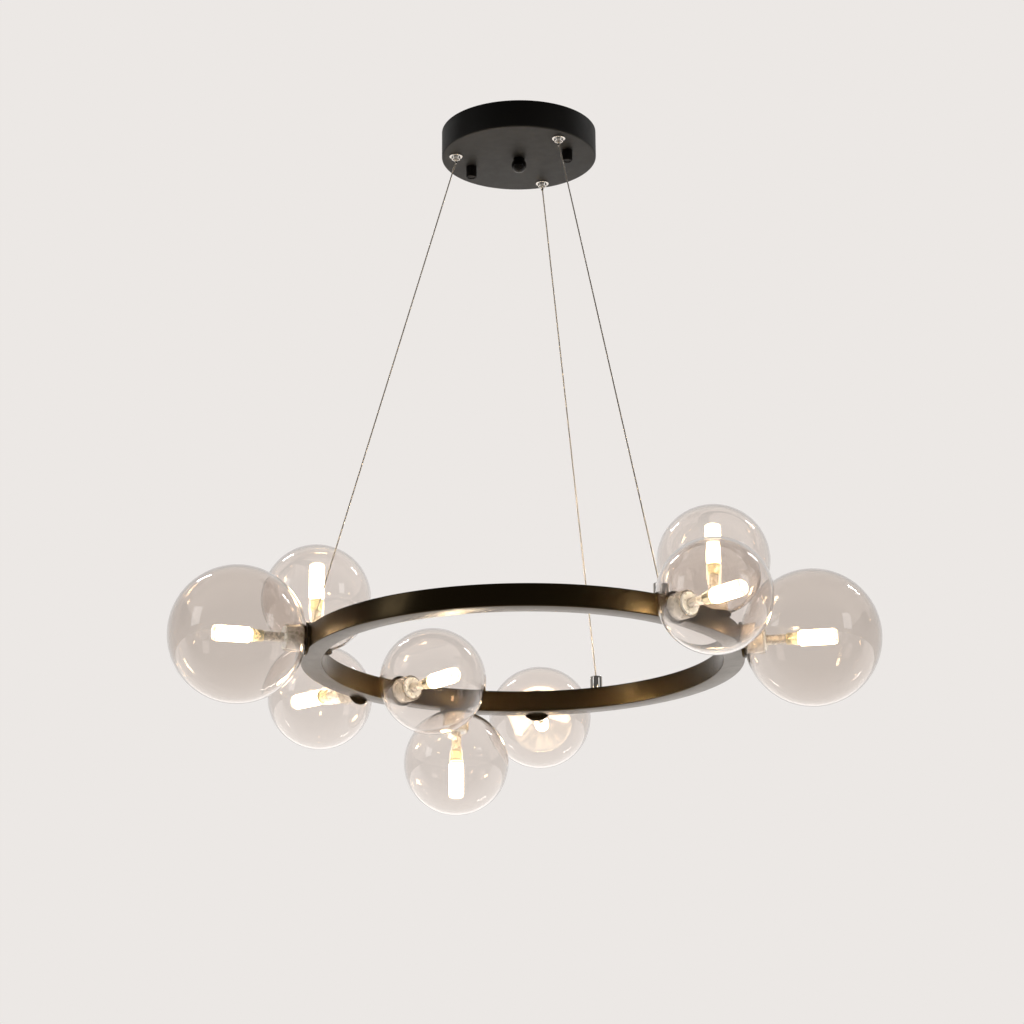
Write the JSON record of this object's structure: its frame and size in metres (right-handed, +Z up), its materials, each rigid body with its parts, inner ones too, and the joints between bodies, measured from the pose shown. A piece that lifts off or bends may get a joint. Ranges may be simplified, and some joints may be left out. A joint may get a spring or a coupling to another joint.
{
  "type": "globe chandelier",
  "caption": "Pendant chandelier: a black tube ring hung on wires under a round ceiling canopy, with clear glass globe lamps on its outer, inner, upper and lower faces.",
  "frame": {"origin": "centre of the ceiling bracket on the ceiling plane, above the middle of the ring", "axes": "+Z up into the ceiling, +X along the ceiling bracket and the line of the two canopy nuts"},
  "size_m": [0.7293, 0.6172, 0.7485],
  "materials": {
    "satin_black": "satin",
    "matt_black": "fine matt powder coat",
    "zinc_steel": "zinc plated",
    "chrome": "polished",
    "steel_wire": "drawn",
    "aluminium": "satin",
    "brass": "polished",
    "clear_glass": "clear",
    "led_capsule": "translucent",
    "silicone": "matt",
    "driver_case": "moulded",
    "terminal_plastic": "moulded",
    "cable_sheath": "extruded"
  },
  "bodies": {
    "canopy": {"ceiling_bracket": "zinc_steel", "bracket_studs": "zinc_steel", "stud_locknuts": "zinc_steel", "canopy_cup": "matt_black", "canopy_nuts": "matt_black", "centre_finial": "matt_black", "finial_nut": "zinc_steel", "gripper_bodies": "chrome", "gripper_nuts": "zinc_steel", "led_driver": "driver_case", "terminal_block": "terminal_plastic", "driver_leads": "cable_sheath", "feed_leads": "cable_sheath", "suspension_wire_1": "steel_wire", "suspension_wire_2": "steel_wire", "suspension_wire_3": "steel_wire"},
    "ring": {"ring_tube": "satin_black", "wire_ferrules": "chrome", "ferrule_nuts": "zinc_steel", "ring_harness": "cable_sheath", "lamp_flanges": "satin_black", "lamp_collars": "aluminium", "lamp_stems": "chrome", "stem_nuts": "zinc_steel", "lamp_sockets": "brass"},
    "gripper_plunger_1": {"gripper_plunger_1": "chrome"},
    "gripper_plunger_2": {"gripper_plunger_2": "chrome"},
    "gripper_plunger_3": {"gripper_plunger_3": "chrome"},
    "globe_gasket_1": {"globe_gasket_1": "silicone"},
    "globe_1": {"globe_1": "clear_glass"},
    "bulb_1": {"bulb_1": "led_capsule"},
    "globe_gasket_2": {"globe_gasket_2": "silicone"},
    "globe_2": {"globe_2": "clear_glass"},
    "bulb_2": {"bulb_2": "led_capsule"},
    "globe_gasket_3": {"globe_gasket_3": "silicone"},
    "globe_3": {"globe_3": "clear_glass"},
    "bulb_3": {"bulb_3": "led_capsule"},
    "globe_gasket_4": {"globe_gasket_4": "silicone"},
    "globe_4": {"globe_4": "clear_glass"},
    "bulb_4": {"bulb_4": "led_capsule"},
    "globe_gasket_5": {"globe_gasket_5": "silicone"},
    "globe_5": {"globe_5": "clear_glass"},
    "bulb_5": {"bulb_5": "led_capsule"},
    "globe_gasket_6": {"globe_gasket_6": "silicone"},
    "globe_6": {"globe_6": "clear_glass"},
    "bulb_6": {"bulb_6": "led_capsule"},
    "globe_gasket_7": {"globe_gasket_7": "silicone"},
    "globe_7": {"globe_7": "clear_glass"},
    "bulb_7": {"bulb_7": "led_capsule"},
    "globe_gasket_8": {"globe_gasket_8": "silicone"},
    "globe_8": {"globe_8": "clear_glass"},
    "bulb_8": {"bulb_8": "led_capsule"},
    "globe_gasket_9": {"globe_gasket_9": "silicone"},
    "globe_9": {"globe_9": "clear_glass"},
    "bulb_9": {"bulb_9": "led_capsule"}
  },
  "joints": [
    {"name": "ring_height", "type": "slide", "parent": "canopy", "child": "ring", "axis": [0, 0, 1], "range_m": [0, 0.3], "deforming": ["suspension_wire_1", "suspension_wire_2", "suspension_wire_3"]},
    {"name": "gripper_press_1", "type": "slide", "parent": "canopy", "child": "gripper_plunger_1", "axis": [0, 0, 1], "range_m": [0, 0.002], "stiffness_N_per_m": 500},
    {"name": "gripper_press_2", "type": "slide", "parent": "canopy", "child": "gripper_plunger_2", "axis": [0, 0, 1], "range_m": [0, 0.002], "stiffness_N_per_m": 500},
    {"name": "gripper_press_3", "type": "slide", "parent": "canopy", "child": "gripper_plunger_3", "axis": [0, 0, 1], "range_m": [0, 0.002], "stiffness_N_per_m": 500},
    {"name": "globe_1_travel", "type": "slide", "parent": "ring", "child": "globe_gasket_1", "axis": [-0.7771, -0.6293, 0], "range_m": [0, 0.0061]},
    {"name": "globe_1_unscrew", "type": "hinge", "parent": "globe_gasket_1", "child": "globe_1", "pos_m": [-0.18651, -0.15104, -0.616], "axis": [-0.7771, -0.6293, 0], "range_deg": [0, 720]},
    {"name": "bulb_1_pull", "type": "slide", "parent": "ring", "child": "bulb_1", "axis": [-0.7771, -0.6293, 0], "range_m": [0, 0.007]},
    {"name": "globe_2_travel", "type": "slide", "parent": "ring", "child": "globe_gasket_2", "axis": [0, 0, 1], "range_m": [0, 0.0061]},
    {"name": "globe_2_unscrew", "type": "hinge", "parent": "globe_gasket_2", "child": "globe_2", "pos_m": [-0.22171, -0.05528, -0.604], "axis": [0, 0, 1], "range_deg": [0, 720]},
    {"name": "bulb_2_pull", "type": "slide", "parent": "ring", "child": "bulb_2", "axis": [0, 0, 1], "range_m": [0, 0.007]},
    {"name": "globe_3_travel", "type": "slide", "parent": "ring", "child": "globe_gasket_3", "axis": [-0.9537, 0.3007, 0], "range_m": [0, 0.0061]},
    {"name": "globe_3_unscrew", "type": "hinge", "parent": "globe_gasket_3", "child": "globe_3", "pos_m": [-0.22889, 0.07217, -0.616], "axis": [-0.9537, 0.3007, 0], "range_deg": [0, 720]},
    {"name": "bulb_3_pull", "type": "slide", "parent": "ring", "child": "bulb_3", "axis": [-0.9537, 0.3007, 0], "range_m": [0, 0.007]},
    {"name": "globe_4_travel", "type": "slide", "parent": "ring", "child": "globe_gasket_4", "axis": [0.8829, -0.4695, 0], "range_m": [0, 0.0061]},
    {"name": "globe_4_unscrew", "type": "hinge", "parent": "globe_gasket_4", "child": "globe_4", "pos_m": [-0.1916, 0.10187, -0.616], "axis": [0.8829, -0.4695, 0], "range_deg": [0, 720]},
    {"name": "bulb_4_pull", "type": "slide", "parent": "ring", "child": "bulb_4", "axis": [0.8829, -0.4695, 0], "range_m": [0, 0.007]},
    {"name": "globe_5_travel", "type": "slide", "parent": "ring", "child": "globe_gasket_5", "axis": [0, 0, -1], "range_m": [0, 0.0061]},
    {"name": "globe_5_unscrew", "type": "hinge", "parent": "globe_gasket_5", "child": "globe_5", "pos_m": [-0.15141, 0.17114, -0.628], "axis": [0, 0, -1], "range_deg": [0, 720]},
    {"name": "bulb_5_pull", "type": "slide", "parent": "ring", "child": "bulb_5", "axis": [0, 0, -1], "range_m": [0, 0.007]},
    {"name": "globe_6_travel", "type": "slide", "parent": "ring", "child": "globe_gasket_6", "axis": [-0.309, 0.9511, 0], "range_m": [0, 0.0061]},
    {"name": "globe_6_unscrew", "type": "hinge", "parent": "globe_gasket_6", "child": "globe_6", "pos_m": [-0.07416, 0.22825, -0.616], "axis": [-0.309, 0.9511, 0], "range_deg": [0, 720]},
    {"name": "bulb_6_pull", "type": "slide", "parent": "ring", "child": "bulb_6", "axis": [-0.309, 0.9511, 0], "range_m": [0, 0.007]},
    {"name": "globe_7_travel", "type": "slide", "parent": "ring", "child": "globe_gasket_7", "axis": [0, 0, 1], "range_m": [0, 0.0061]},
    {"name": "globe_7_unscrew", "type": "hinge", "parent": "globe_gasket_7", "child": "globe_7", "pos_m": [0.22725, -0.02388, -0.604], "axis": [0, 0, 1], "range_deg": [0, 720]},
    {"name": "bulb_7_pull", "type": "slide", "parent": "ring", "child": "bulb_7", "axis": [0, 0, 1], "range_m": [0, 0.007]},
    {"name": "globe_8_travel", "type": "slide", "parent": "ring", "child": "globe_gasket_8", "axis": [0.8829, -0.4695, 0], "range_m": [0, 0.0061]},
    {"name": "globe_8_unscrew", "type": "hinge", "parent": "globe_gasket_8", "child": "globe_8", "pos_m": [0.21191, -0.11267, -0.616], "axis": [0.8829, -0.4695, 0], "range_deg": [0, 720]},
    {"name": "bulb_8_pull", "type": "slide", "parent": "ring", "child": "bulb_8", "axis": [0.8829, -0.4695, 0], "range_m": [0, 0.007]},
    {"name": "globe_9_travel", "type": "slide", "parent": "ring", "child": "globe_gasket_9", "axis": [0.9833, 0.1822, 0], "range_m": [0, 0.0061]},
    {"name": "globe_9_unscrew", "type": "hinge", "parent": "globe_gasket_9", "child": "globe_9", "pos_m": [0.23598, 0.04374, -0.616], "axis": [0.9833, 0.1822, 0], "range_deg": [0, 720]},
    {"name": "bulb_9_pull", "type": "slide", "parent": "ring", "child": "bulb_9", "axis": [0.9833, 0.1822, 0], "range_m": [0, 0.007]}
  ],
  "couplings": [
    {"joint": "globe_1_travel", "follows": "globe_1_unscrew", "m_per_rad": 0.00047746},
    {"joint": "globe_2_travel", "follows": "globe_2_unscrew", "m_per_rad": 0.00047746},
    {"joint": "globe_3_travel", "follows": "globe_3_unscrew", "m_per_rad": 0.00047746},
    {"joint": "globe_4_travel", "follows": "globe_4_unscrew", "m_per_rad": 0.00047746},
    {"joint": "globe_5_travel", "follows": "globe_5_unscrew", "m_per_rad": 0.00047746},
    {"joint": "globe_6_travel", "follows": "globe_6_unscrew", "m_per_rad": 0.00047746},
    {"joint": "globe_7_travel", "follows": "globe_7_unscrew", "m_per_rad": 0.00047746},
    {"joint": "globe_8_travel", "follows": "globe_8_unscrew", "m_per_rad": 0.00047746},
    {"joint": "globe_9_travel", "follows": "globe_9_unscrew", "m_per_rad": 0.00047746}
  ]
}
